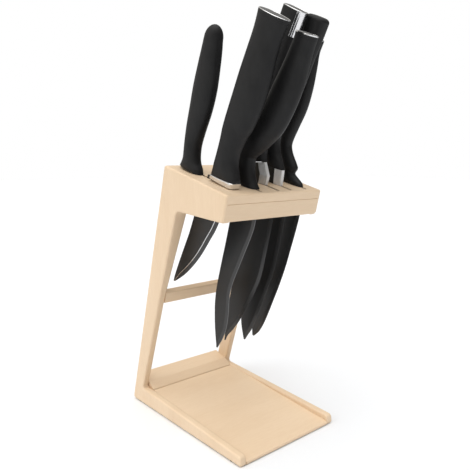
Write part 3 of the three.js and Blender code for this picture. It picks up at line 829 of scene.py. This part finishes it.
def slicing_knife():
    place = knife_place("slicing", 72)
    blade = [(-0.5, -12, 24.4), (-32, -12, 24.4), (-50, -12, 23.4), (-67, -12, 22), (-87, -12, 20.4),
             (-112, -12, 16.8), (-134, -12, 12.6), (-161, -11.6, 7), (-177, -10.4, 1.6), (-187, -7.2, -5)]
    handle = [
        station(0.3, 1.6, 18.2, 5.4, 2.6), station(3.4, -0.2, 17.8, 6, 2.6),
        station(7, -3.8, 14.6, 6.2), station(10, -6.6, 12.2, 6.4), station(16, -5.4, 13, 6.6),
        station(20, -7.4, 12.4, 6.6), station(30, -15, 11.2, 6.6), station(38, -18, 11, 6.8),
        station(54, -14.8, 12, 7), station(75, -8.8, 12.4, 7.4), station(96, -6.4, 12.2, 7.5),
        station(118, -5.8, 11.1, 7.5, tilt=0.08), station(130, -5.8, 10.4, 7.5, tilt=0.1),
        station(138.5, -4.6, 10.8, 7.7, tilt=0.1),
    ]
    add_blade("slicing", place, blade, (-11.5, -3.5))
    add_grip("slicing", place, handle)
    add_cap("slicing", place, station(138.6, -4.6, 10.9, 7.8, tilt=0.1), 3.6, "polished_steel")


# Light, floor and camera

def build_floor():
    """A plain pale floor."""
    reach = 6
    corners = [(-reach, -reach, 0), (reach, -reach, 0), (reach, reach, 0), (-reach, reach, 0)]
    mesh = bpy.data.meshes.new("floor")
    mesh.from_pydata(corners, [], [(0, 1, 2, 3)])
    floor = bpy.data.objects.new("floor", mesh)
    bpy.context.scene.collection.objects.link(floor)
    made, _ = material("floor_paint", (0.86, 0.88, 0.915), 0.8)
    mesh.materials.append(made)


def soft_sun(name, towards, strength, angle):
    """A wide, even light that shines towards a direction."""
    data = bpy.data.lights.new(name, "SUN")
    data.energy = strength
    data.angle = math.radians(angle)
    light = bpy.data.objects.new(name, data)
    light.rotation_euler = Vector(towards).to_track_quat("-Z", "Y").to_euler()
    bpy.context.scene.collection.objects.link(light)


def build_light():
    """Two soft suns, and a surround brighter above and behind that the camera sees as plain white."""
    world = bpy.data.worlds.new("studio")
    bpy.context.scene.world = world
    world.use_nodes = True
    tree = world.node_tree
    surround = tree.nodes["Background"]
    surround.inputs["Color"].default_value = (1, 0.97, 0.915, 1)
    place = node(tree, "ShaderNodeTexCoord")
    facing = node(tree, "ShaderNodeVectorMath", operation="DOT_PRODUCT")
    brightest = Vector((-0.42, 0.38, 0.82))
    facing.inputs[1].default_value = brightest.normalized()
    tree.links.new(place.outputs["Generated"], facing.inputs[0])
    fall = node(tree, "ShaderNodeMapRange")
    for socket, value in (("From Min", -0.5), ("From Max", 1), ("To Min", 0.06), ("To Max", 0.86)):
        fall.inputs[socket].default_value = value
    tree.links.new(facing.outputs["Value"], fall.inputs["Value"])
    tree.links.new(fall.outputs["Result"], surround.inputs["Strength"])
    backdrop = node(tree, "ShaderNodeBackground", Color=(1, 1, 1, 1), Strength=1.0)
    path = node(tree, "ShaderNodeLightPath")
    mix = node(tree, "ShaderNodeMixShader")
    tree.links.new(path.outputs["Is Camera Ray"], mix.inputs["Fac"])
    tree.links.new(surround.outputs["Background"], mix.inputs[1])
    tree.links.new(backdrop.outputs["Background"], mix.inputs[2])
    tree.links.new(mix.outputs["Shader"], tree.nodes["World Output"].inputs["Surface"])
    soft_sun("left_softbox", (0.9, -0.2, -0.5), 0.35, 50)
    soft_sun("overhead", (0.12, 0.2, -1), 2.0, 75)
    bpy.context.scene.view_settings.view_transform = "Standard"


def build_camera():
    """A camera at the front left, a little above the slab."""
    data = bpy.data.cameras.new("camera")
    data.lens = 40.6
    data.sensor_width = 36
    camera = bpy.data.objects.new("camera", data)
    yaw, pitch = math.radians(40.64), math.radians(-8.32)
    left, forward, height = 0.3584, 0.5258, 0.2795  # from the middle, the stand's back and the floor
    camera.location = (-left, BACK * MM - forward, height)
    camera.rotation_euler = (math.pi / 2 + pitch, 0, -yaw)
    bpy.context.scene.collection.objects.link(camera)
    bpy.context.scene.camera = camera


def dress_small_parts():
    """New materials for the dowels and pads, which keep their CAD shape."""
    for name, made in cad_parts.items():
        if name.startswith(("dowel", "rubber")):
            made.data.materials.clear()
            made.data.materials.append(dowel_wood if name.startswith("dowel") else rubber)


build_camera()
build_light()
build_floor()
build_stand()
build_bars()
dress_small_parts()
for build_knife in (paring_knife, utility_knife, chef_knife, bread_knife, carving_knife, slicing_knife):
    build_knife()
